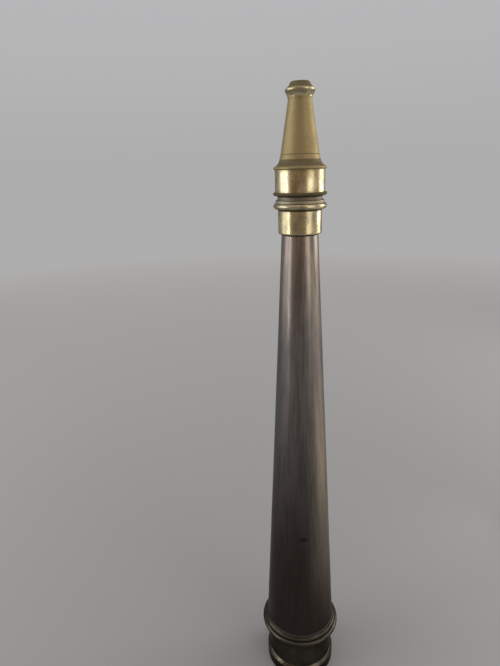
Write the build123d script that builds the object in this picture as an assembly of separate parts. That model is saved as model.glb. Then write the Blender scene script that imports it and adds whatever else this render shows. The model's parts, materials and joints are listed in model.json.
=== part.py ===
from build123d import *
import os

# Smooth-bore branch pipe, standing on its hose coupling. The origin is the centre of the coupling's
# lower face, and +Z runs up the waterway to the jet. All sizes are in millimetres, radii unless named.

INCH = 25.4
SOLDER_GAP = 0.04
TOUCH_GAP = 0.02
BORE_EDGE = 0.8

# Tapered copper tube, drawn from 16 gauge sheet
TUBE_Z = (53.65, 481.0)
TUBE_TOP_R = 14.07
TUBE_TAPER = 0.0473
TUBE_WALL = 1.6

# Hose coupling: catch ring, neck and flange
WATERWAY_R = 26.5
WATERWAY_EDGE = 1.5
CATCH_R = 34.8
CATCH_EDGE = 1.2
CATCH_TOP = 11.4
CATCH_SLOPE = (33.0, 14.0)
CATCH_FILLET = 1.6
NECK_R = 32.4
NECK_FILLET = 1.6
FLANGE_R = 39.4
FLANGE_Z = (46.9, 52.4)
SOCKET_R = 30.05
SOCKET_FLOOR = 18.0
COUPLING_WASHER_R = (26.8, 29.85)
COUPLING_WASHER_THICK = 3.0

# Base ferrule: screwed shank, collar round the tube and tail inside it
SHANK_R = 29.95
COLLAR_R = 37.1
COLLAR_FOOT_EDGE = 0.4
COLLAR_TOP_EDGE = 0.6
COLLAR_EDGE_Z = 54.9
COLLAR_COVE = (35.4, 55.8)
COLLAR_TOP = 57.2
COLLAR_TOP_R = 35.0
TAIL_TOP = 78.0
TAIL_LIP = 0.9
BASE_SOLDER_SIZE = (0.8, 1.1)

# Grub screws through the flange into the shank
SCREW_R = 1.5
SCREW_TIP_R = 30.0
SCREW_HEAD_R = 38.6
SCREW_EDGE = 0.25
SCREW_ANGLES = (45, 135)
SLOT_SIZE = (1.0, 0.7)

# Thread between the nozzle and the head, 11 to the inch
THREAD_PITCH = INCH / 11
THREAD_MAJOR = 17.5
THREAD_DEPTH = 0.64 * THREAD_PITCH
THREAD_CREST = 0.38
THREAD_FLANK = 0.5
THREAD_PLAY = 0.1
THREAD_BITE = 0.15
BARREL_THREAD_TURNS = 9

# Head ferrule, from the sleeve up to the male thread
SLEEVE_Z = (457.8, 476.9)
SLEEVE_R = 17.92
SLEEVE_EDGE = 1.3
GROOVE_DEPTH = 0.35
GROOVE_EDGE = 0.5
BEAD_Z = 480.1
BEAD_R = 21.75
BEAD_SECTION = 2.4
STEP_R = 19.9
STEP_TOP = 484.8
STEP_EDGE = 0.9
SPIGOT_R = 18.2
SPIGOT_TOP = 487.4
SPIGOT_RISE = 0.9
HEAD_TOP = 506.6
HEAD_EDGE = 0.5
HEAD_THREAD_Z = (489.0, 505.9)
HEAD_BORE = 12.4
HEAD_SOLDER_SIZE = (0.9, -0.9)

# Nozzle: skirt, barrel between two lips, cove, band, groove, cone, bead and crown
BARREL_FOOT = 488.2
SKIRT_R = 20.6
BARREL_R = 20.1
LIP_SECTION = 1.2
LOW_LIP = (21.75, 489.6)
HIGH_LIP = (21.3, 509.2)
BARREL_THREAD_Z = (490.0, 505.6)
MOUTH_R = 18.5
WASHER_SEAT = 509.65
NOZZLE_WASHER_R = (12.8, 17.3)
NOZZLE_WASHER_THICK = 3.0
COVE = (17.25, 513.1)
BAND_FOOT = (16.15, 516.0)
BAND_TOP = (15.6, 518.9)
GROOVE = (14.85, 519.3)
CONE_FOOT = (15.3, 519.7)
CONE_TOP = (9.47, 557.1)
NECK = (9.47, 559.5)
NECK_TOP = (9.97, 561.4)
TIP_BEAD_FOOT = (11.65, 564.9)
TIP_BEAD_CREST = (11.75, 565.4)
TIP_BEAD_TOP = (11.3, 566.2)
CROWN_COVE = (9.05, 568.0)
CROWN_TOP = (8.05, 569.4)
CROWN_EDGE = (7.55, 570.55)
NOZZLE_LIP = (6.75, 571.2)
LIP_EDGE = 0.2
ORIFICE_R = INCH / 4
ORIFICE_FOOT = 556.0
NOZZLE_INLET_R = 12.8


def tube_outer(height):
    """Radius of the tube's outside at a height."""
    return TUBE_TOP_R + TUBE_TAPER * (TUBE_Z[1] - height)


def tube_inner(height):
    """Radius of the tube's inside at a height."""
    return tube_outer(height) - TUBE_WALL


def turned(edges):
    """Solid of revolution about +Z, from a closed outline of edges in radius and height."""
    return revolve(Plane.XZ * make_face(edges), axis=Axis.Z)


def ring(inner, outer, low, high):
    """Plain ring of rectangular section."""
    return turned(Polyline((inner, low), (outer, low), (outer, high), (inner, high), close=True))


def quarter_round(start, corner, end):
    """Arc from start to end that rounds off the square corner between them."""
    middle = [c + (1 - 0.5**0.5) * (s - c + e - c) for s, c, e in zip(start, corner, end)]
    return ThreePointArc(start, tuple(middle), end)


def helix_ridge(root_r, crest_r, root_width, crest_width, low, high):
    """Helical ridge whose section is centred on the XZ plane at the heights low, low + pitch and so on."""
    path = Helix(THREAD_PITCH, high - low, root_r, center=(0, 0, low))
    section = Polyline(
        (root_r, low - root_width / 2),
        (crest_r, low - crest_width / 2),
        (crest_r, low + crest_width / 2),
        (root_r, low + root_width / 2),
        close=True,
    )
    return sweep(Plane.XZ * make_face(section), path=path, is_frenet=True)


def male_width(radius):
    """Axial width of the male thread's ridge at a radius."""
    return THREAD_CREST + 2 * THREAD_FLANK * (THREAD_MAJOR - radius)


def male_thread():
    """Ridge of the head's thread, from just inside its core to its crest, trimmed to the threaded length."""
    root = THREAD_MAJOR - THREAD_DEPTH - THREAD_BITE
    low, high = HEAD_THREAD_Z
    ridge = helix_ridge(
        root,
        THREAD_MAJOR,
        male_width(root),
        THREAD_CREST,
        low - THREAD_PITCH,
        high + THREAD_PITCH,
    )
    return ridge & ring(root - 1, THREAD_MAJOR + 1, low, high)


def female_thread():
    """Ridge of the barrel's thread, half a pitch from the male one, with play on crest, root and flanks."""
    root = THREAD_MAJOR + THREAD_PLAY + THREAD_BITE
    crest = THREAD_MAJOR - THREAD_DEPTH + THREAD_PLAY
    low, high = BARREL_THREAD_Z
    first = HEAD_THREAD_Z[0] - THREAD_PITCH / 2
    ridge = helix_ridge(
        root,
        crest,
        THREAD_PITCH - male_width(root) - 2 * THREAD_PLAY,
        THREAD_PITCH - male_width(crest) - 2 * THREAD_PLAY,
        first,
        first + BARREL_THREAD_TURNS * THREAD_PITCH,
    )
    return ridge & ring(crest - 1, root + 1, low, high)


def nozzle():
    """Brass nozzle: screwed barrel below, tapered jet above."""
    low_lip_r, low_lip_z = LOW_LIP
    high_lip_r, high_lip_z = HIGH_LIP
    barrel_low = (BARREL_R, low_lip_z + LIP_SECTION)
    barrel_high = (BARREL_R, high_lip_z - LIP_SECTION)
    shoulder = (BARREL_R, high_lip_z + LIP_SECTION)
    skirt_top = (SKIRT_R, low_lip_z - LIP_SECTION)
    bore = THREAD_MAJOR + THREAD_PLAY
    outside = [
        Polyline((MOUTH_R, BARREL_FOOT), (SKIRT_R, BARREL_FOOT), skirt_top),
        ThreePointArc(skirt_top, (low_lip_r, low_lip_z), barrel_low),
        Line(barrel_low, barrel_high),
        ThreePointArc(barrel_high, (high_lip_r, high_lip_z), shoulder),
        ThreePointArc(shoulder, COVE, BAND_FOOT),
        Polyline(BAND_FOOT, BAND_TOP, GROOVE, CONE_FOOT, CONE_TOP),
        ThreePointArc(CONE_TOP, NECK, NECK_TOP),
        Line(NECK_TOP, TIP_BEAD_FOOT),
        ThreePointArc(TIP_BEAD_FOOT, TIP_BEAD_CREST, TIP_BEAD_TOP),
        ThreePointArc(TIP_BEAD_TOP, CROWN_COVE, CROWN_TOP),
        ThreePointArc(CROWN_TOP, CROWN_EDGE, NOZZLE_LIP),
    ]
    inside = Polyline(
        NOZZLE_LIP,
        (ORIFICE_R + LIP_EDGE, NOZZLE_LIP[1]),
        (ORIFICE_R, NOZZLE_LIP[1] - LIP_EDGE),
        (ORIFICE_R, ORIFICE_FOOT),
        (NOZZLE_INLET_R, WASHER_SEAT),
        (bore, WASHER_SEAT),
        (bore, BARREL_FOOT + MOUTH_R - bore),
        (MOUTH_R, BARREL_FOOT),
    )
    return turned(outside + [inside]) + female_thread()


def nozzle_washer():
    """Leather washer in the barrel's recess, nipped between the seat and the head."""
    inner, outer = NOZZLE_WASHER_R
    return ring(inner, outer, WASHER_SEAT - NOZZLE_WASHER_THICK, WASHER_SEAT - TOUCH_GAP)


def head_ferrule():
    """Brass head of the branch: sleeve sweated over the tube, bead, step ring, spigot and male thread."""
    low, high = SLEEVE_Z
    sleeve_foot = (SLEEVE_R - SLEEVE_EDGE, low)
    sleeve_side = (SLEEVE_R, low + SLEEVE_EDGE)
    bead_centre = BEAD_R - BEAD_SECTION
    bead_low = (bead_centre, BEAD_Z - BEAD_SECTION)
    bead_high = (STEP_R, BEAD_Z + (BEAD_SECTION**2 - (STEP_R - bead_centre) ** 2) ** 0.5)
    step_side = (STEP_R, STEP_TOP - STEP_EDGE)
    step_top = (STEP_R - STEP_EDGE, STEP_TOP)
    core = THREAD_MAJOR - THREAD_DEPTH
    outside = [
        Line((tube_outer(low) + SOLDER_GAP, low), sleeve_foot),
        quarter_round(sleeve_foot, (SLEEVE_R, low), sleeve_side),
        Polyline(
            sleeve_side,
            (SLEEVE_R, high - GROOVE_EDGE),
            (SLEEVE_R - GROOVE_DEPTH, high),
            bead_low,
        ),
        ThreePointArc(bead_low, (BEAD_R, BEAD_Z), bead_high),
        Line(bead_high, step_side),
        quarter_round(step_side, (STEP_R, STEP_TOP), step_top),
        Polyline(
            step_top,
            (SPIGOT_R, STEP_TOP),
            (SPIGOT_R, SPIGOT_TOP),
            (core, SPIGOT_TOP + SPIGOT_RISE),
            (core, HEAD_TOP - HEAD_EDGE),
            (core - HEAD_EDGE, HEAD_TOP),
            (HEAD_BORE, HEAD_TOP),
            (HEAD_BORE, TUBE_Z[1] + TOUCH_GAP),
            (tube_outer(TUBE_Z[1]) + SOLDER_GAP, TUBE_Z[1] + TOUCH_GAP),
            (tube_outer(low) + SOLDER_GAP, low),
        ),
    ]
    return turned(outside) + male_thread()


def solder_fillet(ledge, size):
    """Bevelled ring of solder against a ledge at a height, reaching out and climbing the tube; the rise
    may be down."""
    reach, rise = size
    foot_r = tube_outer(ledge) + TOUCH_GAP
    top_r = tube_outer(ledge + rise) + TOUCH_GAP
    return turned(Polyline((foot_r, ledge), (foot_r + reach, ledge), (top_r, ledge + rise), close=True))


def head_solder():
    """Ring of soft solder under the sleeve."""
    return solder_fillet(SLEEVE_Z[0] - TOUCH_GAP, HEAD_SOLDER_SIZE)


def branch_tube():
    """Tapered copper tube."""
    low, high = TUBE_Z
    return turned(
        Polyline(
            (tube_inner(low), low),
            (tube_outer(low), low),
            (tube_outer(high), high),
            (tube_inner(high), high),
            close=True,
        )
    )


def base_ferrule():
    """Brass base of the branch: screwed shank, collar round the tube's end and tail inside it."""
    shank_foot = SOCKET_FLOOR + COUPLING_WASHER_THICK + TOUCH_GAP
    seat = FLANGE_Z[1] + TOUCH_GAP
    ledge = TUBE_Z[0] - TOUCH_GAP
    tail_r = tube_inner(TAIL_TOP) - SOLDER_GAP
    collar_side = (COLLAR_R, COLLAR_EDGE_Z - COLLAR_TOP_EDGE)
    collar_edge = (COLLAR_R - COLLAR_TOP_EDGE, COLLAR_EDGE_Z)
    outside = [
        Polyline(
            (WATERWAY_R, shank_foot),
            (SHANK_R - BORE_EDGE, shank_foot),
            (SHANK_R, shank_foot + BORE_EDGE),
            (SHANK_R, seat),
            (COLLAR_R - COLLAR_FOOT_EDGE, seat),
            (COLLAR_R, seat + COLLAR_FOOT_EDGE),
            collar_side,
        ),
        quarter_round(collar_side, (COLLAR_R, COLLAR_EDGE_Z), collar_edge),
        ThreePointArc(collar_edge, COLLAR_COVE, (COLLAR_TOP_R, COLLAR_TOP)),
        Polyline(
            (COLLAR_TOP_R, COLLAR_TOP),
            (tube_outer(COLLAR_TOP) + SOLDER_GAP, COLLAR_TOP),
            (tube_outer(ledge) + SOLDER_GAP, ledge),
            (tube_inner(ledge) - SOLDER_GAP, ledge),
            (tail_r, TAIL_TOP),
            (tail_r - TAIL_LIP, TAIL_TOP),
            (WATERWAY_R, ledge),
            (WATERWAY_R, shank_foot),
        ),
    ]
    return turned(outside) - grub_screw_bores()


def base_solder():
    """Ring of soft solder above the collar."""
    return solder_fillet(COLLAR_TOP + TOUCH_GAP, BASE_SOLDER_SIZE)


def coupling():
    """Male instantaneous coupling: catch ring, neck and flange, with the socket for the ferrule inside."""
    low, high = FLANGE_Z
    nose = (high - low) / 2
    slope_end = (NECK_R, CATCH_SLOPE[1] + CATCH_FILLET)
    neck_top = (NECK_R, low - NECK_FILLET)
    flange_foot = (NECK_R + NECK_FILLET, low)
    outside = [
        Polyline(
            (WATERWAY_R + WATERWAY_EDGE, 0),
            (CATCH_R - CATCH_EDGE, 0),
            (CATCH_R, CATCH_EDGE),
            (CATCH_R, CATCH_TOP),
            CATCH_SLOPE,
        ),
        quarter_round(CATCH_SLOPE, (NECK_R, CATCH_SLOPE[1]), slope_end),
        Line(slope_end, neck_top),
        quarter_round(neck_top, (NECK_R, low), flange_foot),
        Line(flange_foot, (FLANGE_R - nose, low)),
        ThreePointArc((FLANGE_R - nose, low), (FLANGE_R, low + nose), (FLANGE_R - nose, high)),
        Polyline(
            (FLANGE_R - nose, high),
            (SOCKET_R + BORE_EDGE, high),
            (SOCKET_R, high - BORE_EDGE),
            (SOCKET_R, SOCKET_FLOOR),
            (WATERWAY_R, SOCKET_FLOOR),
            (WATERWAY_R, WATERWAY_EDGE),
            (WATERWAY_R + WATERWAY_EDGE, 0),
        ),
    ]
    return turned(outside) - grub_screw_bores()


def coupling_washer():
    """Leather washer on the floor of the coupling's socket."""
    inner, outer = COUPLING_WASHER_R
    return ring(inner, outer, SOCKET_FLOOR + TOUCH_GAP, SOCKET_FLOOR + COUPLING_WASHER_THICK)


def grub_screw_planes():
    """Planes on each screw's axis, at its inner end, facing outwards."""
    middle = sum(FLANGE_Z) / 2
    for angle in SCREW_ANGLES:
        outwards = Vector(1, 0, 0).rotate(Axis.Z, angle)
        yield Plane(origin=outwards * SCREW_TIP_R + Vector(0, 0, middle), z_dir=outwards)


def screw_cylinder(radius, length):
    """Cylinder standing on its end."""
    return Cylinder(radius, length, align=(Align.CENTER, Align.CENTER, Align.MIN))


def grub_screw_bores():
    """Radial holes for the screws, from the shank's dimples out through the flange's edge."""
    bore = screw_cylinder(SCREW_R + TOUCH_GAP, FLANGE_R + 1 - SCREW_TIP_R)
    return [plane * bore for plane in grub_screw_planes()]


def coupling_screws():
    """Slotted grub screws."""
    length = SCREW_HEAD_R - SCREW_TIP_R - TOUCH_GAP
    slot_depth, slot_width = SLOT_SIZE
    blank = Pos(0, 0, TOUCH_GAP) * screw_cylinder(SCREW_R, length)
    blank = chamfer(blank.edges().filter_by(GeomType.CIRCLE), SCREW_EDGE)
    slot = Pos(0, 0, SCREW_HEAD_R - SCREW_TIP_R) * Box(3 * SCREW_R, slot_width, 2 * slot_depth)
    screw = blank - slot
    return Compound(children=[plane * screw for plane in grub_screw_planes()])


PARTS = {
    "nozzle": nozzle,
    "nozzle_washer": nozzle_washer,
    "head_ferrule": head_ferrule,
    "head_solder": head_solder,
    "branch_tube": branch_tube,
    "base_ferrule": base_ferrule,
    "base_solder": base_solder,
    "coupling": coupling,
    "coupling_washer": coupling_washer,
    "coupling_screws": coupling_screws,
}

os.makedirs("parts", exist_ok=True)
for name, build in PARTS.items():
    export_step(build(), f"parts/{name}.step")
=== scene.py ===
import json
import math
import random

import bpy
from mathutils import Matrix, Vector

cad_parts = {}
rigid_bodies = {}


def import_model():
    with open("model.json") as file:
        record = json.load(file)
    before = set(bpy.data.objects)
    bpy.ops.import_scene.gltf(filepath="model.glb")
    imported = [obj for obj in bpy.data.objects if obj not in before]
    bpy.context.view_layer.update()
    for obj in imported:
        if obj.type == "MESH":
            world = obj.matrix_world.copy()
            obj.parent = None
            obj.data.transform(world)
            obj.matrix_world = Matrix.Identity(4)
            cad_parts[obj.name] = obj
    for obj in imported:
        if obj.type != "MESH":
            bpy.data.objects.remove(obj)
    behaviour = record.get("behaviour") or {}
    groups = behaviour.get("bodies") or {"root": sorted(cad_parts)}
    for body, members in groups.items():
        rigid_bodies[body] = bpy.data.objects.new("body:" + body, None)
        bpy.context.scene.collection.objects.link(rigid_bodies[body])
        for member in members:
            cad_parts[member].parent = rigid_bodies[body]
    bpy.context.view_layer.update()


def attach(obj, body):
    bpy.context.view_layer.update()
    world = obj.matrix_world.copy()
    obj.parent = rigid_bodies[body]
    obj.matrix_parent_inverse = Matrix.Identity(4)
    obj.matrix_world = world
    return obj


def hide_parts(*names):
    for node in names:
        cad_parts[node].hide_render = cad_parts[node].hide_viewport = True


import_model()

MM = 0.001

# ---------------------------------------------------------------- camera, floor and light, in metres

LENS = 27.03          # on a 36 mm long side
CAMERA_AWAY = 0.420   # from the nozzle's axis, along -Y
CAMERA_HIGH = 0.5117
CLIP_START = 0.01
PITCH, YAW, ROLL = math.radians(18.45), math.radians(6.01), math.radians(-1.89)

# The room that the metal reflects, and where one of its colours turns into the next, along one axis of the
# direction looked in
ROOM_FRONT = (0.44, 0.315, 0.23)
ROOM_BACK = (0.40, 0.40, 0.41)
ROOM_RIGHT = (0.62, 0.57, 0.50)
FRONT_LOW = (0.085, 0.072, 0.065)
CEILING = (1.0, 1.0, 1.0)
FRONT_TO_BACK = (-0.80, 0.30)    # along Y
TO_RIGHT = (0.55, 0.95)          # along X
LOW_TO_FRONT = (-0.11, -0.03)    # along Z
TO_CEILING = (0.45, 0.85)        # along Z

# The wall that the camera sees, paler upwards
WALL_LOW = (0.42, 0.42, 0.42)
WALL_HIGH = (0.47, 0.47, 0.48)
WALL_RISE = (-0.02, 0.26)

# The floor, its colour painted paler outwards as painted light, where the light on it fades
FLOOR_NEAR, FLOOR_FAR = 0.235, 0.535
FLOOR_RADIUS = 2.6
FLOOR_SIDES = 96
FLOOR_ROUGHNESS = 0.9

DAYLIGHT = (0.95, 0.98, 1.0)
WARM_LIGHT = (1.0, 0.97, 0.93)
WARMER_LIGHT = (1.0, 0.97, 0.92)
LAMPLIGHT = (1.0, 0.90, 0.78)

# Softboxes: azimuth in degrees from -Y towards +X, distance from the axis, heights of the lower and upper
# edges, width, watts, colour, and spread in degrees
SOFTBOXES = {
    "window_left": (-79, 1.6, (0.42, 1.6), 1.35, 8.35, DAYLIGHT, 140),
    "window_left_low": (-84, 1.6, (0.05, 0.42), 1.15, 0.52, DAYLIGHT, 100),
    "window_left_edge": (-61, 1.6, (0.05, 0.42), 0.22, 0.52, WARM_LIGHT, 100),
    "window_right_near": (49, 1.6, (0.10, 1.5), 0.80, 3.3, WARMER_LIGHT, 140),
    "window_right_far": (115, 1.6, (0.25, 1.5), 0.80, 8.05, WARM_LIGHT, 140),
    "wall_glow": (100, 0.34, (0.02, 0.36), 0.42, 0.21, LAMPLIGHT, 140),
}


def make_camera():
    """Camera at the photograph's angle: looking along +Y and down, turned and rolled a little."""
    forward = Vector((-math.sin(YAW) * math.cos(PITCH), math.cos(YAW) * math.cos(PITCH), -math.sin(PITCH)))
    level = Vector((math.cos(YAW), math.sin(YAW), 0))
    above = level.cross(forward)
    right = math.cos(ROLL) * level + math.sin(ROLL) * above
    up = math.cos(ROLL) * above - math.sin(ROLL) * level
    data = bpy.data.cameras.new("camera")
    data.lens = LENS
    data.clip_start = CLIP_START
    camera = bpy.data.objects.new("camera", data)
    camera.matrix_world = Matrix(
        (
            (right.x, up.x, -forward.x, 0),
            (right.y, up.y, -forward.y, -CAMERA_AWAY),
            (right.z, up.z, -forward.z, CAMERA_HIGH),
            (0, 0, 0, 1),
        )
    )
    bpy.context.scene.collection.objects.link(camera)
    bpy.context.scene.camera = camera


def make_softbox(name, azimuth, distance, edges, width, power, colour, spread):
    """Upright soft light that faces the object."""
    turn = math.radians(azimuth)
    low, high = edges
    place = Vector((math.sin(turn) * distance, -math.cos(turn) * distance, (low + high) / 2))
    data = bpy.data.lights.new(name, "AREA")
    data.shape = "RECTANGLE"
    data.size, data.size_y = width, high - low
    data.energy = power
    data.spread = math.radians(spread)
    data.color = colour
    light = bpy.data.objects.new(name, data)
    light.location = place
    light.rotation_euler = Vector((place.x, place.y, 0)).to_track_quat("Z", "Y").to_euler()
    light.visible_camera = False
    bpy.context.scene.collection.objects.link(light)


def make_world():
    """Grey room: the camera sees a plain pale wall, and the metal reflects a brown room in front of the
    object, a grey one behind it and a bright ceiling."""
    world = bpy.data.worlds.new("room")
    bpy.context.scene.world = world
    world.use_nodes = True
    tree = world.node_tree
    tree.nodes.clear()
    add = tree.nodes.new

    def step(value, ends):
        made = add("ShaderNodeMapRange")
        made.interpolation_type = "SMOOTHSTEP"
        made.inputs["From Min"].default_value, made.inputs["From Max"].default_value = ends
        tree.links.new(value, made.inputs["Value"])
        return made.outputs["Result"]

    def blend(factor, first, second):
        made = add("ShaderNodeMix")
        made.data_type = "RGBA"
        tree.links.new(factor, made.inputs["Factor"])
        for source, socket in ((first, made.inputs["A"]), (second, made.inputs["B"])):
            if isinstance(source, tuple):
                socket.default_value = (*source, 1)
            else:
                tree.links.new(source, socket)
        return made.outputs["Result"]

    split = add("ShaderNodeSeparateXYZ")
    tree.links.new(add("ShaderNodeTexCoord").outputs["Generated"], split.inputs[0])
    across, along, up = split.outputs
    front = blend(step(up, LOW_TO_FRONT), FRONT_LOW, ROOM_FRONT)
    around = blend(step(along, FRONT_TO_BACK), front, ROOM_BACK)
    around = blend(step(across, TO_RIGHT), around, ROOM_RIGHT)
    room = add("ShaderNodeBackground")
    tree.links.new(blend(step(up, TO_CEILING), around, CEILING), room.inputs["Color"])
    wall = add("ShaderNodeBackground")
    tree.links.new(blend(step(up, WALL_RISE), WALL_LOW, WALL_HIGH), wall.inputs["Color"])
    choose = add("ShaderNodeMixShader")
    tree.links.new(add("ShaderNodeLightPath").outputs["Is Camera Ray"], choose.inputs["Fac"])
    tree.links.new(room.outputs[0], choose.inputs[1])
    tree.links.new(wall.outputs[0], choose.inputs[2])
    tree.links.new(choose.outputs[0], add("ShaderNodeOutputWorld").inputs["Surface"])


def make_floor():
    """Pale round floor under the coupling, its colour painted paler outwards as painted light."""
    turns = [math.tau * k / FLOOR_SIDES for k in range(FLOOR_SIDES)]
    rim = [(FLOOR_RADIUS * math.cos(a), FLOOR_RADIUS * math.sin(a), 0) for a in turns]
    mesh = bpy.data.meshes.new("floor")
    mesh.from_pydata(rim, [], [tuple(range(FLOOR_SIDES))])
    floor = bpy.data.objects.new("floor", mesh)
    bpy.context.scene.collection.objects.link(floor)
    material = bpy.data.materials.new("pale_floor")
    material.use_nodes = True
    tree = material.node_tree
    shader = tree.nodes["Principled BSDF"]
    away = tree.nodes.new("ShaderNodeVectorMath")
    away.operation = "LENGTH"
    tree.links.new(tree.nodes.new("ShaderNodeTexCoord").outputs["Object"], away.inputs[0])
    # Painted light: paler outwards, where the lamps light the floor less.
    tone = tree.nodes.new("ShaderNodeMapRange")
    tone.inputs["From Max"].default_value = FLOOR_RADIUS
    tone.inputs["To Min"].default_value = FLOOR_NEAR
    tone.inputs["To Max"].default_value = FLOOR_FAR
    tree.links.new(away.outputs["Value"], tone.inputs["Value"])
    tree.links.new(tone.outputs["Result"], shader.inputs["Base Color"])
    shader.inputs["Roughness"].default_value = FLOOR_ROUGHNESS
    mesh.materials.append(material)


# ---------------------------------------------------------------- turned meshes

SEGMENTS = 160                   # round the axis
FINE = 0.12                      # mm, support step beside a rounded corner
SHORT = 5 * FINE                 # mm, a stretch this short gets no support points
LONGEST = 3.0                    # mm, of any step along an outline
STRAIGHT = math.radians(178)     # a corner opener than this isn't rounded
ARC_STEP = math.radians(15)      # of a rounded corner
FILLET_SHARE = 0.49              # of a side's length that a fillet may take
RECESS_REACH = 1.6               # mm, over which an outline is called hollow
EDGE_REACH = 0.4                 # mm, over which it is called proud
HAIR = 1e-12                     # m, so that a walk along an outline always gets on


def arc(first, middle, last, steps=8):
    """Points of the circle through three (radius, height) points, ends left out."""
    (ax, ay), (bx, by), (cx, cy) = first, middle, last
    double = 2 * (ax * (by - cy) + bx * (cy - ay) + cx * (ay - by))
    aa, bb, cc = ax * ax + ay * ay, bx * bx + by * by, cx * cx + cy * cy
    centre_x = (aa * (by - cy) + bb * (cy - ay) + cc * (ay - by)) / double
    centre_y = (aa * (cx - bx) + bb * (ax - cx) + cc * (bx - ax)) / double
    size = math.hypot(ax - centre_x, ay - centre_y)
    start, half_way, end = (math.atan2(y - centre_y, x - centre_x) for x, y in (first, middle, last))
    turn = wrapped(half_way - start) + wrapped(end - half_way)
    angles = [start + turn * k / steps for k in range(1, steps)]
    return [(centre_x + size * math.cos(a), centre_y + size * math.sin(a), 0) for a in angles]


def run(first, last, step):
    """Evenly spaced points from first to last, for a stretch that carries a thread."""
    a, b = Vector(first), Vector(last)
    cuts = round((b - a).length / step)
    return [(*(a + (b - a) * k / cuts), 0) for k in range(cuts + 1)]


def wrapped(angle):
    """An angle brought to between minus and plus half a turn."""
    return (angle + math.pi) % math.tau - math.pi


def rounded(corners):
    """Closed outline in metres from corners (radius, height, fillet) in mm: each corner becomes an arc, with
    a support point each side, and long stretches are divided."""
    path = []
    for i, (x, y, fillet) in enumerate(corners):
        here = Vector((x, y))
        to_before = Vector(corners[i - 1][:2]) - here
        to_after = Vector(corners[(i + 1) % len(corners)][:2]) - here
        angle = to_before.angle(to_after)
        if fillet == 0 or angle > STRAIGHT:
            path.append(here)
            continue
        reach = min(fillet / math.tan(angle / 2), FILLET_SHARE * min(to_before.length, to_after.length))
        fillet = reach * math.tan(angle / 2)
        middle = (to_before.normalized() + to_after.normalized()).normalized()
        centre = here + middle * (fillet / math.sin(angle / 2))
        first = here + to_before.normalized() * reach - centre
        last = here + to_after.normalized() * reach - centre
        start = math.atan2(first.y, first.x)
        turn = wrapped(math.atan2(last.y, last.x) - start)
        steps = max(2, math.ceil(abs(turn) / ARC_STEP))
        for k in range(steps + 1):
            a = start + turn * k / steps
            path.append(centre + fillet * Vector((math.cos(a), math.sin(a))))
    return divided(path)


def divided(path):
    """The closed path in metres, with support points beside its corners and its long stretches divided."""
    out = []
    for i, here in enumerate(path):
        out.append(here)
        onward = path[(i + 1) % len(path)] - here
        length = onward.length
        if length < SHORT:
            continue
        cuts = math.ceil((length - 2 * FINE) / LONGEST)
        marks = [FINE + (length - 2 * FINE) * k / cuts for k in range(cuts + 1)]
        out += [here + onward * (m / length) for m in marks]
    return [(p.x * MM, p.y * MM) for p in out]


def hollow_measure(path, reach):
    """For each outline point, how deep it lies in a recess (+) or how proud on an edge (-), over a reach."""
    count = len(path)
    values = []
    for i in range(count):
        here = Vector(path[i])
        total = Vector((0, 0))
        for side in (1, -1):
            gone, last, k = 0.0, here, i
            while gone < reach:
                k = (k + side) % count
                point = Vector(path[k])
                step = (point - last).length
                if gone + step > reach:
                    point = last + (point - last) * ((reach - gone) / step)
                    step = reach - gone
                total += (point + last) / 2 * step
                gone += step + HAIR
                last = point
        before, after = Vector(path[i - 1]), Vector(path[(i + 1) % count])
        along = (after - before).normalized()
        outward = Vector((along.y, -along.x))
        values.append((total / (2 * reach) - here).dot(outward) / reach)
    return values


def inward_facing(path):
    """1 for each outline point whose surface faces the axis, 0 for the others."""
    heights = [point[1] for point in path]
    return [float(heights[(i + 1) % len(path)] < heights[i - 1]) for i in range(len(path))]


def turned(name, corners, body, stands_for, bend=None):
    """Closed mesh of revolution. The outline runs anticlockwise, with radius to the right and height up;
    bend(angle, radius, height), in mm, gives a point's radius after threads and dents."""
    path = rounded(corners)
    count = len(path)
    labels = {
        "recess": hollow_measure(path, RECESS_REACH * MM),
        "edge": hollow_measure(path, EDGE_REACH * MM),
        "inside": inward_facing(path),
    }
    points, faces = [], []
    for j in range(SEGMENTS):
        angle = math.tau * j / SEGMENTS
        for radius, height in path:
            if bend:
                radius = bend(angle, radius / MM, height / MM) * MM
            points.append((radius * math.cos(angle), radius * math.sin(angle), height))
    for j in range(SEGMENTS):
        near, far = j * count, (j + 1) % SEGMENTS * count
        for i in range(count):
            k = (i + 1) % count
            faces.append((near + i, far + i, far + k, near + k))
    mesh = bpy.data.meshes.new(name)
    mesh.from_pydata(points, [], faces)
    for label, values in labels.items():
        layer = mesh.attributes.new(label, "FLOAT", "POINT")
        layer.data.foreach_set("value", values * SEGMENTS)
    mesh.polygons.foreach_set("use_smooth", [True] * len(faces))
    mesh.update()
    piece = bpy.data.objects.new(name, mesh)
    bpy.context.scene.collection.objects.link(piece)
    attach(piece, body)
    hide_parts(stands_for)
    return piece


# ---------------------------------------------------------------- the grub screws' holes, in mm

SCREW_ANGLES = (45, 135)      # degrees from +X
SCREW_HEIGHT = 49.65
SCREW_BORE = 1.52             # radius
BORE_REACH = (29.0, 41.0)     # from inside the coupling's bore to outside its flange
BORE_SIDES = 40


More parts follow.
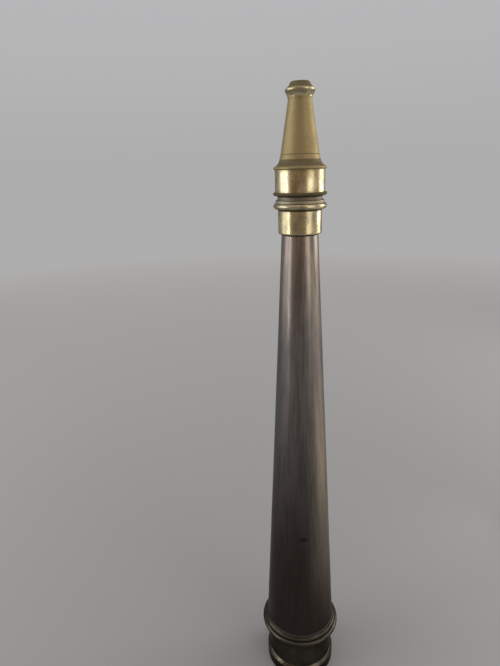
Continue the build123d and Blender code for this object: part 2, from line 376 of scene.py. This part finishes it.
def bore_mesh(angle):
    """Radial cylinder where a grub screw's hole goes."""
    outwards = Vector((math.cos(angle), math.sin(angle), 0))
    across = Vector((-outwards.y, outwards.x, 0))
    up = Vector((0, 0, 1))
    turns = [math.tau * k / BORE_SIDES for k in range(BORE_SIDES)]
    ring = [SCREW_BORE * (across * math.cos(a) + up * math.sin(a)) + SCREW_HEIGHT * up for a in turns]
    points = [(outwards * reach + offset) * MM for reach in BORE_REACH for offset in ring]
    faces = [tuple(reversed(range(BORE_SIDES))), tuple(range(BORE_SIDES, 2 * BORE_SIDES))]
    for k in range(BORE_SIDES):
        after = (k + 1) % BORE_SIDES
        faces.append((k, after, BORE_SIDES + after, BORE_SIDES + k))
    mesh = bpy.data.meshes.new("bore")
    mesh.from_pydata(points, [], faces)
    return mesh


def drill(piece, angle):
    """Cut a grub screw's hole through the coupling's flange."""
    bore = bpy.data.objects.new("bore", bore_mesh(angle))
    bpy.context.scene.collection.objects.link(bore)
    cut = piece.modifiers.new("bore", "BOOLEAN")
    cut.operation = "DIFFERENCE"
    cut.solver = "EXACT"
    cut.object = bore
    shown = piece.evaluated_get(bpy.context.evaluated_depsgraph_get())
    piece.data = bpy.data.meshes.new_from_object(shown)
    piece.modifiers.remove(cut)
    bpy.data.objects.remove(bore)


# ---------------------------------------------------------------- the thread between nozzle and head, in mm

PITCH_MM = 25.4 / 11
THREAD_DEEP = 0.64 * PITCH_MM
FLANK = 0.5                      # ridge half-width gained for each mm of depth
FADE = 0.8                       # height over which a ridge fades in and out
HEAD_CORE = 17.5 - THREAD_DEEP   # radius between the male ridges
BARREL_BORE = 17.6               # radius between the female ridges
MALE_CREST, FEMALE_CREST = 0.38, 0.34    # width of a ridge's flat top
MALE_THREAD = (489.0, 505.9)             # heights between which the ridges run
FEMALE_THREAD = (490.0, 505.6)
MALE_START = MALE_THREAD[0] - PITCH_MM    # height of the ridge's middle on the +X side
FEMALE_START = MALE_START + PITCH_MM / 2
THREAD_STEP = 0.16               # height between the points that carry the thread
ON_SURFACE = 1e-3                # of the radius that carries the thread


def ridge(angle, height, start, crest, ends):
    """How far a helical ridge stands out at a point; it fades in and out at the ends of its stretch."""
    low, high = ends
    turn = ((height - start) / PITCH_MM - angle / math.tau) % 1
    away = min(turn, 1 - turn) * PITCH_MM
    rise = THREAD_DEEP - max(0, away - crest / 2) / FLANK
    fade = min(1, (height - low) / FADE, (high - height) / FADE)
    return max(0, min(THREAD_DEEP, rise)) * max(0, fade)


def male_thread(angle, radius, height):
    """Head ferrule's thread, on its core."""
    if abs(radius - HEAD_CORE) < ON_SURFACE:
        return radius + ridge(angle, height, MALE_START, MALE_CREST, MALE_THREAD)
    return radius


def female_thread(angle, radius, height):
    """Barrel's thread, half a pitch from the male one, in its bore."""
    if abs(radius - BARREL_BORE) < ON_SURFACE:
        return radius - ridge(angle, height, FEMALE_START, FEMALE_CREST, FEMALE_THREAD)
    return radius


# ---------------------------------------------------------------- wear: dents and lost roundness, in mm

def make_dents(seed, count, heights, sizes, depths):
    """Fixed set of shallow dents, each an angle, a height, a size and a depth."""
    draw = random.Random(seed)
    return [
        (draw.uniform(0, math.tau), draw.uniform(*heights), draw.uniform(*sizes), draw.uniform(*depths))
        for _ in range(count)
    ]


DENT_REACH = 3    # sizes from its middle at which a dent has faded away
BARREL_DENTS = make_dents(seed=11, count=7, heights=(490, 511), sizes=(0.8, 1.8), depths=(0.05, 0.16))
TIP_DENTS = make_dents(seed=13, count=4, heights=(563, 571), sizes=(0.7, 1.4), depths=(0.06, 0.18))
HEAD_DENTS = make_dents(seed=17, count=8, heights=(458, 485), sizes=(0.8, 2.0), depths=(0.04, 0.14))
TUBE_DENTS = make_dents(seed=5, count=16, heights=(70, 440), sizes=(3, 9), depths=(0.06, 0.22))
TUBE_DENTS.append((math.radians(-88), 130, 2.6, 0.30))    # one deeper, low on the front
BASE_DENTS = make_dents(seed=23, count=14, heights=(1, 56), sizes=(1.2, 3.0), depths=(0.08, 0.28))

BARREL_SKIN = 18.6               # beyond this radius the nozzle's surface is its outside
TIP_FOOT, TIP_SKIN = 560, 6.6    # and above this height, beyond this radius
HEAD_TOP, HEAD_SKIN = 485, 17    # the head ferrule's outside, below its spigot
BASE_SKIN = 32
TUBE_FREE = (60, 455)            # heights between which the tube stands free of its ferrules
TUBE_HOLD = 20                   # height over which a ferrule's grip on its roundness fades
OVAL, OVAL_START = 0.05, 0.6     # depth of two waves round the tube, and their phase at height 0
OVAL_TWIST = 90                  # height over which that phase moves by a radian
LOBES, LOBES_TWIST = 0.03, 60    # and the same for three waves, whose phase moves the other way
TUBE_FOOT, TUBE_TOP = 53.65, 481.0
TUBE_TOP_R, TAPER = 14.07, 0.0473
TUBE_WALL = 1.6
FILM = 0.04                      # gap at a sweated joint


def dented(dents, angle, radius, height):
    """Radius after the dents have pushed it in."""
    for turn, middle, size, depth in dents:
        up = (height - middle) / size
        if abs(up) > DENT_REACH:
            continue
        across = wrapped(angle - turn) * radius / size
        if abs(across) < DENT_REACH:
            radius -= depth * math.exp(-(up * up + across * across) / 2)
    return radius


def worn_nozzle(angle, radius, height):
    """Nozzle with small dings in its barrel and tip, and its thread."""
    if radius > BARREL_SKIN or (height > TIP_FOOT and radius > TIP_SKIN):
        return dented(BARREL_DENTS + TIP_DENTS, angle, radius, height)
    return female_thread(angle, radius, height)


def worn_head(angle, radius, height):
    """Head ferrule with small dings below its spigot, and its thread."""
    if radius > HEAD_SKIN and height < HEAD_TOP:
        return dented(HEAD_DENTS, angle, radius, height)
    return male_thread(angle, radius, height)


def tube_radius(height):
    """Outside radius of the tube."""
    return TUBE_TOP_R + TAPER * (TUBE_TOP - height)


def worn_tube(angle, radius, height):
    """Tube with soft dents and a trace of lost roundness between its two ferrules."""
    low, high = TUBE_FREE
    free = max(0, min(1, (height - low) / TUBE_HOLD, (high - height) / TUBE_HOLD))
    oval = OVAL * math.sin(2 * angle + OVAL_START + height / OVAL_TWIST)
    oval += LOBES * math.sin(3 * angle - height / LOBES_TWIST)
    pushed = dented(TUBE_DENTS, angle, tube_radius(height), height) - tube_radius(height)
    return radius + free * (pushed + oval)


def worn_coupling(angle, radius, height):
    """Coupling with dings outside, on its flange, neck and catch ring."""
    return dented(BASE_DENTS, angle, radius, height) if radius > BASE_SKIN else radius


# ---------------------------------------------------------------- outlines: (radius, height, fillet), in mm
# They follow the CAD's, except that the nozzle's groove is a little shallower.

SHOULDER = 53.63    # the base ferrule's seat for the tube
TAIL_END = 78       # top of its tail, inside the tube
TAIL_WALL = 0.9


def inside_tube(height):
    """Radius of the base ferrule's tail, which fits inside the tube."""
    return tube_radius(height) - TUBE_WALL - FILM


NOZZLE = [
    # skirt and low lip
    (18.5, 488.2, 0.12),
    (20.6, 488.2, 0.1),
    (20.6, 488.4, 0.1),
    *arc((20.6, 488.4), (21.75, 489.6), (20.1, 490.8)),
    # barrel
    (20.1, 490.8, 0.1),
    (20.1, 508.0, 0.1),
    # upper lip
    *arc((20.1, 508.0), (21.3, 509.2), (20.1, 510.4)),
    (20.1, 510.4, 0.1),
    # cove
    *arc((20.1, 510.4), (17.25, 513.1), (16.15, 516.0)),
    (16.15, 516.0, 0.15),
    # groove
    (15.6, 518.9, 0.2),
    (15.1, 519.3, 0.1),
    (15.3, 519.7, 0.15),
    # cone and its waist
    (9.47, 557.1, 0),
    *arc((9.47, 557.1), (9.47, 559.5), (9.97, 561.4)),
    (9.97, 561.4, 0),
    # bead
    (11.62, 564.8, 0.35),
    (11.6, 566.0, 0.25),
    (11.2, 566.25, 0.1),
    # crown
    *arc((11.2, 566.25), (9.05, 568.0), (8.05, 569.4)),
    (8.05, 569.4, 0.3),
    *arc((8.05, 569.4), (7.55, 570.55), (6.75, 571.2)),
    (6.75, 571.2, 0.12),
    # jet and its tapered throat
    (6.35, 571.1, 0.15),
    (6.35, 556.0, 2),
    (12.8, 509.65, 0.3),
    # threaded bore of the barrel
    (BARREL_BORE, 509.65, 0.3),
    *run((BARREL_BORE, 506.2), (BARREL_BORE, 489.6), THREAD_STEP),
    (BARREL_BORE, 489.1, 0.1),
]

HEAD = [
    # sleeve
    (tube_radius(457.8) + FILM, 457.8, 0.05),
    (17.92, 457.8, 1.3),
    (17.92, 476.4, 0.15),
    (17.57, 476.9, 0.1),
    # bead
    (19.35, 477.7, 0.3),
    *arc((19.35, 477.7), (21.75, 480.1), (19.9, 482.44), 14),
    # step ring
    (19.9, 482.44, 0.6),
    (19.9, 484.8, 0.9),
    # spigot
    (18.2, 484.8, 0.2),
    (18.2, 487.4, 0.15),
    # threaded core
    (HEAD_CORE, 488.3, 0.2),
    *run((HEAD_CORE, 488.8), (HEAD_CORE, 506.0), THREAD_STEP),
    (HEAD_CORE, 506.6, 0.4),
    # waterway, and the seat for the tube's end
    (12.4, 506.6, 0.2),
    (12.4, 481.02, 0.1),
    (14.11, 481.02, 0.1),
]

TUBE = [
    (tube_radius(TUBE_FOOT) - TUBE_WALL, TUBE_FOOT, 0.1),
    (tube_radius(TUBE_FOOT), TUBE_FOOT, 0.1),
    (tube_radius(TUBE_TOP), TUBE_TOP, 0.1),
    (tube_radius(TUBE_TOP) - TUBE_WALL, TUBE_TOP, 0.1),
]

BASE_FERRULE = [
    # shank
    (26.5, 21.02, 0.2),
    (29.95, 21.02, 0.8),
    (29.95, 52.42, 0.1),
    # collar
    (37.1, 52.42, 0.35),
    (37.1, 54.9, 0.6),
    (36.3, 54.95, 0.1),
    *arc((36.3, 54.95), (35.4, 55.8), (35.0, 57.2)),
    (35.0, 57.2, 0.15),
    # socket for the tube
    (tube_radius(57.2) + FILM, 57.2, 0.1),
    (tube_radius(SHOULDER) + FILM, SHOULDER, 0.05),
    # tail inside the tube, and the waterway
    (inside_tube(SHOULDER), SHOULDER, 0.05),
    (inside_tube(TAIL_END), TAIL_END, 0.2),
    (inside_tube(TAIL_END) - TAIL_WALL, TAIL_END, 0.3),
    (26.5, SHOULDER, 1),
]

COUPLING = [
    # catch ring
    (28.0, 0, 0.5),
    (34.8, 0, 1.0),
    (34.8, 11.4, 0.7),
    (33.0, 14.0, 0.3),
    # neck
    *arc((33.0, 14.0), (32.57, 14.46), (32.4, 15.6), 5),
    (32.4, 15.6, 0),
    (32.4, 46.9, 1.6),
    # flange
    (39.4, 46.9, 2.7),
    (39.4, 52.4, 2.7),
    # bore for the ferrule's shank
    (30.05, 52.4, 0.6),
    (30.05, 18.0, 0.2),
    # waterway
    (26.5, 18.0, 0.4),
    (26.5, 1.5, 0.5),
]


# ---------------------------------------------------------------- materials

class Paint:
    """One material's nodes, with sizes given in mm in the part's own frame."""

    def __init__(self, name):
        self.material = bpy.data.materials.new(name)
        self.material.use_nodes = True
        self.tree = self.material.node_tree
        self.shader = self.tree.nodes["Principled BSDF"]
        self.place = self.node("ShaderNodeTexCoord").outputs["Object"]
        split = self.node("ShaderNodeSeparateXYZ")
        self.link(self.place, split.inputs[0])
        x, y, z = split.outputs
        self.height = self.math("MULTIPLY", z, 1 / MM)
        square = self.math("ADD", self.math("MULTIPLY", x, x), self.math("MULTIPLY", y, y))
        self.side = self.math("DIVIDE", x, self.math("SQRT", square))

    def node(self, kind, **settings):
        """New node with its settings."""
        made = self.tree.nodes.new(kind)
        for key, value in settings.items():
            setattr(made, key, value)
        return made

    def link(self, source, socket):
        """Feed a socket from another socket, a number or a colour."""
        if isinstance(source, bpy.types.NodeSocket):
            self.tree.links.new(source, socket)
        elif isinstance(source, tuple):
            socket.default_value = (*source, 1)
        else:
            socket.default_value = source

    def math(self, operation, first, second=0.0, clamp=False):
        """Sum, product or other arithmetic of two values."""
        made = self.node("ShaderNodeMath", operation=operation, use_clamp=clamp)
        self.link(first, made.inputs[0])
        self.link(second, made.inputs[1])
        return made.outputs[0]

    def ramp(self, value, low, high, bottom=0.0, top=1.0):
        """Smooth step of a value from bottom at low to top at high."""
        made = self.node("ShaderNodeMapRange", interpolation_type="SMOOTHSTEP")
        ends = {"Value": value, "From Min": low, "From Max": high, "To Min": bottom, "To Max": top}
        for key, number in ends.items():
            self.link(number, made.inputs[key])
        return made.outputs["Result"]

    def span(self, low, high, soft):
        """Mask of the stretch between two heights, with soft ends."""
        up = self.ramp(self.height, low - soft, low + soft)
        down = self.ramp(self.height, high - soft, high + soft, 1.0, 0.0)
        return self.math("MULTIPLY", up, down)

    def share(self, mask, amount):
        """A mask weakened to a share of its strength."""
        return self.math("MULTIPLY", mask, amount)

    def most(self, *masks):
        """The greatest of several masks."""
        value = masks[0]
        for mask in masks[1:]:
            value = self.math("MAXIMUM", value, mask)
        return value

    def noise(self, across, along, detail, roughness, shift=0.0):
        """Noise whose grains are so many mm across the axis and so many along it."""
        mapping = self.node("ShaderNodeMapping")
        self.link(self.place, mapping.inputs["Vector"])
        mapping.inputs["Scale"].default_value = (1 / across / MM, 1 / across / MM, 1 / along / MM)
        mapping.inputs["Location"].default_value = (shift, shift, shift)
        made = self.node("ShaderNodeTexNoise")
        self.link(mapping.outputs[0], made.inputs["Vector"])
        made.inputs["Scale"].default_value = 1.0
        made.inputs["Detail"].default_value = detail
        made.inputs["Roughness"].default_value = roughness
        return made.outputs["Fac"]

    def distance(self, centre, reach):
        """Distance from a place, in mm, counted in reaches along each axis."""
        mapping = self.node("ShaderNodeMapping")
        self.link(self.place, mapping.inputs["Vector"])
        mapping.inputs["Scale"].default_value = [1 / size / MM for size in reach]
        mapping.inputs["Location"].default_value = [-at / size for at, size in zip(centre, reach)]
        made = self.node("ShaderNodeVectorMath", operation="LENGTH")
        self.link(mapping.outputs[0], made.inputs[0])
        return made.outputs["Value"]

    def attribute(self, name):
        """A value that the mesh carries at its points."""
        return self.node("ShaderNodeAttribute", attribute_name=name).outputs["Fac"]

    def mix(self, factor, first, second):
        """Blend of two colours."""
        made = self.node("ShaderNodeMix", data_type="RGBA")
        self.link(factor, made.inputs["Factor"])
        self.link(first, made.inputs["A"])
        self.link(second, made.inputs["B"])
        return made.outputs["Result"]

    def blend(self, factor, first, second):
        """Blend of two values."""
        made = self.node("ShaderNodeMix", data_type="FLOAT")
        self.link(factor, made.inputs["Factor"])
        self.link(first, made.inputs["A"])
        self.link(second, made.inputs["B"])
        return made.outputs["Result"]

    def bump(self, height, depth, below=None):
        """Relief so many mm deep, on top of another."""
        made = self.node("ShaderNodeBump")
        made.inputs["Distance"].default_value = depth * MM
        made.inputs["Strength"].default_value = 1.0
        self.link(height, made.inputs["Height"])
        if below:
            self.link(below, made.inputs["Normal"])
        return made.outputs["Normal"]

    def finish(self, colour, roughness, normal, metallic=1.0, rim=1.0):
        """Set the shader's inputs and hand over the material. rim is its brightness at grazing angles."""
        self.shader.inputs["Specular Tint"].default_value = (rim, rim, rim, 1)
        self.link(colour, self.shader.inputs["Base Color"])
        self.link(roughness, self.shader.inputs["Roughness"])
        self.link(normal, self.shader.inputs["Normal"])
        self.link(metallic, self.shader.inputs["Metallic"])
        return self.material


def brass(name, bright, dull, tarnish_and_shade_colour, zones, polished, spread, recess_grime_and_shade, rim):
    """Turned brass. bright, dull and tarnish_and_shade_colour are its colours, the last one for stains and
    for painted shade, and zones(paint) gives masks of where it is matt and where it is darkened, by
    blackening and by painted shade. polished is the roughness where it shines, spread what the matt parts
    add to it, recess_grime_and_shade how black the recesses are made, from dirt and from painted shade, and
    rim the brightness at grazing angles."""
    p = Paint(name)
    matt, black = zones(p)
    cloud = p.noise(9, 14, 4, 0.55)
    blots = p.noise(3.2, 5.5, 5, 0.65, 11.0)
    grain = p.noise(1.1, 1.1, 4, 0.6, 3.0)
    lines = p.noise(14, 0.35, 2, 0.6, 7.0)
    # Recesses darkened, partly as dirt and partly as painted shade.
    recess = p.ramp(p.attribute("recess"), 0.03, 0.22, 0.0, recess_grime_and_shade)
    edge = p.ramp(p.attribute("edge"), -0.04, -0.20)

    stain_and_shade = p.most(
        p.share(p.ramp(blots, 0.56, 0.72), 0.35),
        p.share(p.ramp(grain, 0.60, 0.72), 0.3),
        p.share(p.attribute("inside"), 0.75),
    )
    stain_and_shade = p.math("MULTIPLY", stain_and_shade, p.blend(edge, 1.0, 0.2))
    # The darkened recesses and zones, partly dirt and blackening and partly painted shade, take the dark
    # colour with the stains.
    stain_and_shade = p.most(stain_and_shade, recess, p.math("MULTIPLY", black, p.ramp(grain, 0.25, 0.6, 1.0, 0.8)))
    colour = p.mix(p.ramp(cloud, 0.35, 0.68), bright, dull)
    colour = p.mix(matt, colour, dull)
    colour = p.mix(stain_and_shade, colour, tarnish_and_shade_colour)

    roughness = p.blend(p.ramp(lines, 0.3, 0.7), polished, polished + 0.05)
    roughness = p.math("ADD", roughness, p.share(matt, spread))
    roughness = p.math("ADD", roughness, p.share(stain_and_shade, 0.18))
    roughness = p.math("ADD", roughness, p.ramp(cloud, 0.3, 0.7, -0.03, 0.05), clamp=True)

    relief = p.bump(lines, 0.007)
    relief = p.bump(grain, 0.006, relief)
    return p.finish(colour, roughness, relief, rim=rim)


def nozzle_zones(p):
    """The nozzle is matt but for its barrel, a little so on its bead, and blackened in its cove, on its
    crown and low lip, with painted shade under its bead and in the crease just above its barrel."""
    cone = p.span(508.2, 560.3, 0.3)
    cove = p.span(510.7, 515.7, 0.4)
    # Painted shade in the crease under the upper lip.
    shade_above_barrel = p.span(507.8, 508.4, 0.1)
    # Painted shade under the tip's bead.
    shade_under_bead = p.span(562.4, 565.0, 0.4)
    bead = p.ramp(p.height, 565.0, 565.6)
    crown = p.ramp(p.height, 566.2, 567.0)
    matt_lip = p.ramp(p.height, 491.1, 490.6)
    black_lip = p.ramp(p.height, 491.3, 490.6)
    matt = p.most(cone, matt_lip, p.share(bead, 0.35), crown)
    black = p.most(
        p.share(cove, 0.62),
        p.share(shade_under_bead, 0.5),
        p.share(crown, 0.6),
        p.share(black_lip, 0.8),
        p.share(shade_above_barrel, 0.35),
    )
    return matt, black


def head_zones(p):
    """The head ferrule is matt on its step ring and spigot, and darkened with painted shade on its spigot in
    the barrel's shadow, under its bead and at its foot."""
    step_and_spigot = p.span(482.6, 489.5, 0.3)
    # Painted shadow of the barrel on the spigot.
    spigot = p.span(484.6, 489.5, 0.2)
    # Painted shade under the bead.
    shade_under_bead = p.span(476.4, 478.2, 0.3)
    # Painted shade at the sleeve's foot, over the solder.
    foot = p.ramp(p.height, 459.4, 457.9)
    return step_and_spigot, p.most(p.share(spigot, 0.5), p.share(shade_under_bead, 0.8), p.share(foot, 0.6))


def base_zones(p):
    """The base is a little matt all over, darkened with painted shade under its flange, and blackened on its
    collar.
    """
    # Painted shade on the neck under the flange.
    shade_under_flange = p.span(36.0, 48.4, 3.0)
    collar = p.ramp(p.height, 50, 53)
    return 0.3, p.most(p.share(shade_under_flange, 0.4), p.share(collar, 0.4))


def nozzle_brass():
    """Satin olive brass, polished on the barrel."""
    return brass(
        "nozzle_brass",
        bright=(0.565, 0.50, 0.33),
        dull=(0.300, 0.240, 0.126),
        tarnish_and_shade_colour=(0.05, 0.041, 0.033),
        zones=nozzle_zones,
        polished=0.25,
        spread=0.31,
        recess_grime_and_shade=0.28,
        rim=0.7,
    )


def head_brass():
    """Polished brass, grey and dull on the step ring."""
    return brass(
        "head_brass",
        bright=(0.58, 0.50, 0.285),
        dull=(0.30, 0.26, 0.19),
        tarnish_and_shade_colour=(0.05, 0.044, 0.038),
        zones=head_zones,
        polished=0.235,
        spread=0.25,
        recess_grime_and_shade=0.35,
        rim=0.7,
    )


def base_brass():
    """Tarnished brass, darkened all over as painted shade."""
    return brass(
        "base_brass",
        # Colours darker than the brass's own: painted shade over the whole base.
        bright=(0.086, 0.077, 0.058),
        dull=(0.050, 0.045, 0.035),
        tarnish_and_shade_colour=(0.019, 0.017, 0.015),
        zones=base_zones,
        polished=0.20,
        spread=0.12,
        recess_grime_and_shade=0.8,
        rim=0.5,
    )


COPPER_BROWN = (0.285, 0.232, 0.195)
COPPER_GREYISH = (0.22, 0.198, 0.182)
COPPER_RED = (0.25, 0.185, 0.14)
COPPER_GREY = (0.155, 0.149, 0.145)
COPPER_FINE_STREAK = (0.12, 0.10, 0.09)
# painted shade at the foot
COPPER_FOOT_SHADE = (0.044, 0.031, 0.0262)
# painted reflection, low on the +X side
COPPER_PAINTED_SHEEN = (0.25, 0.215, 0.175)
COPPER_DARK_STREAK = (0.022, 0.021, 0.020)
COPPER_STAIN = (0.055, 0.043, 0.036)
COPPER_SPOT = (0.016, 0.011, 0.009)
SPOT_PLACE, SPOT_REACH = (3.3, -29.0, 172.2), (5.5, 9.0, 2.8)    # mm


def copper_colour(p, lower, streaks, fine, cloud):
    """Brown copper at the top, grey below it and, as painted shade, nearly black at the foot, streaked along
    its length, and painted pale low on its +X side as a painted reflection of the light on that side."""
    colour = p.mix(p.ramp(streaks, 0.35, 0.68), COPPER_BROWN, COPPER_GREYISH)
    colour = p.mix(p.ramp(cloud, 0.5, 0.75, 0.0, 0.6), colour, COPPER_RED)
    colour = p.mix(p.ramp(p.height, 455, 345, 0.0, 0.75), colour, COPPER_GREY)
    colour = p.mix(p.ramp(fine, 0.55, 0.75, 0.0, 0.35), colour, COPPER_FINE_STREAK)
    # Painted shade: darker towards the foot.
    colour = p.mix(p.share(lower, 0.9), colour, COPPER_FOOT_SHADE)
    # Painted reflection: paler low on the +X side, where that side's light falls.
    painted_sheen = p.math("MULTIPLY", p.span(115, 300, 55), p.ramp(p.side, 0.12, 0.92))
    colour = p.mix(painted_sheen, colour, COPPER_PAINTED_SHEEN)
    return p.mix(p.ramp(streaks, 0.38, 0.66, 0.0, 0.28), colour, COPPER_DARK_STREAK)


def copper_patina_and_painted_light():
    """Drawn copper gone brown, with small stains and one dark spot on its front, painted shade towards its
    foot and a painted reflection low on its +X side.
    """
    p = Paint("copper")
    streaks = p.noise(2.6, 75, 4, 0.6)
    fine = p.noise(0.7, 30, 3, 0.6, 5.0)
    cloud = p.noise(22, 60, 4, 0.6, 9.0)
    grain = p.noise(1.0, 1.4, 4, 0.65, 2.0)
    lower = p.ramp(p.height, 345, 120)

    # Stains, with the recesses darkened partly as painted shade.
    stain_and_shade = p.most(
        p.ramp(grain, 0.62, 0.76, 0.0, 0.5),
        p.share(p.attribute("inside"), 0.8),
        p.ramp(p.attribute("recess"), 0.03, 0.2),
    )
    spot = p.ramp(p.distance(SPOT_PLACE, SPOT_REACH), 1.35, 0.3, 0.0, 0.6)
    colour = copper_colour(p, lower, streaks, fine, cloud)
    colour = p.mix(stain_and_shade, colour, COPPER_STAIN)
    colour = p.mix(spot, colour, COPPER_SPOT)

    roughness = p.ramp(cloud, 0.3, 0.75, 0.25, 0.36)
    roughness = p.math("ADD", roughness, p.ramp(fine, 0.35, 0.7, -0.02, 0.07))
    roughness = p.math("ADD", roughness, p.share(stain_and_shade, 0.2))
    roughness = p.math("ADD", roughness, p.share(lower, 0.06), clamp=True)

    relief = p.bump(fine, 0.006)
    relief = p.bump(grain, 0.010, relief)
    relief = p.bump(cloud, 0.12, relief)
    return p.finish(colour, roughness, relief, rim=0.7)


SOLDER_DARK, SOLDER_PALE = (0.018, 0.016, 0.014), (0.05, 0.046, 0.042)
LEATHER_DARK, LEATHER_PALE = (0.060, 0.030, 0.015), (0.115, 0.062, 0.032)
LEATHER_GRAIN = (0.035, 0.018, 0.010)
STEEL_GREY, STEEL_BROWN = (0.17, 0.155, 0.14), (0.075, 0.055, 0.045)


def dull_solder():
    """Old soft solder: dark, lumpy and dull."""
    p = Paint("solder")
    lumps = p.noise(1.6, 0.9, 4, 0.6)
    colour = p.mix(p.ramp(lumps, 0.3, 0.7), SOLDER_DARK, SOLDER_PALE)
    roughness = p.ramp(lumps, 0.3, 0.75, 0.5, 0.75)
    return p.finish(colour, roughness, p.bump(lumps, 0.12), metallic=0.7)


def leather():
    """Greased leather, dark brown, with its grain."""
    p = Paint("leather")
    grain = p.noise(0.5, 0.5, 5, 0.6)
    cloud = p.noise(6, 6, 3, 0.5, 4.0)
    colour = p.mix(p.ramp(cloud, 0.35, 0.7), LEATHER_DARK, LEATHER_PALE)
    colour = p.mix(p.ramp(grain, 0.55, 0.7), colour, LEATHER_GRAIN)
    roughness = p.ramp(grain, 0.3, 0.7, 0.5, 0.72)
    return p.finish(colour, roughness, p.bump(grain, 0.08), metallic=0.0)


def dark_steel():
    """Steel screws browned with age."""
    p = Paint("screw_steel")
    grain = p.noise(0.35, 0.35, 4, 0.6)
    cloud = p.noise(1.8, 1.8, 3, 0.5, 4.0)
    colour = p.mix(p.ramp(cloud, 0.35, 0.7), STEEL_GREY, STEEL_BROWN)
    roughness = p.ramp(grain, 0.3, 0.7, 0.32, 0.55)
    return p.finish(colour, roughness, p.bump(grain, 0.02))


def paint(piece, material):
    """Give a piece its one material."""
    piece.data.materials.clear()
    piece.data.materials.append(material)


# ---------------------------------------------------------------- the scene

make_camera()
make_world()
make_floor()
for name, settings in SOFTBOXES.items():
    make_softbox(name, *settings)

nozzle = turned("nozzle_turned", NOZZLE, "nozzle", "nozzle", worn_nozzle)
head = turned("head_ferrule_turned", HEAD, "branch", "head_ferrule", worn_head)
tube = turned("branch_tube_drawn", TUBE, "branch", "branch_tube", worn_tube)
ferrule = turned("base_ferrule_turned", BASE_FERRULE, "branch", "base_ferrule")
coupling = turned("coupling_turned", COUPLING, "branch", "coupling", worn_coupling)
for angle in SCREW_ANGLES:
    drill(coupling, math.radians(angle))

cad = bpy.data.objects
for material, pieces in (
    (nozzle_brass(), (nozzle,)),
    (head_brass(), (head,)),
    (base_brass(), (ferrule, coupling)),
    (copper_patina_and_painted_light(), (tube,)),
    (dull_solder(), (cad["head_solder"], cad["base_solder"])),
    (leather(), (cad["nozzle_washer"], cad["coupling_washer"])),
    (dark_steel(), (cad["coupling_screws"],)),
):
    for piece in pieces:
        paint(piece, material)
bpy.context.scene.view_settings.view_transform = "Standard"
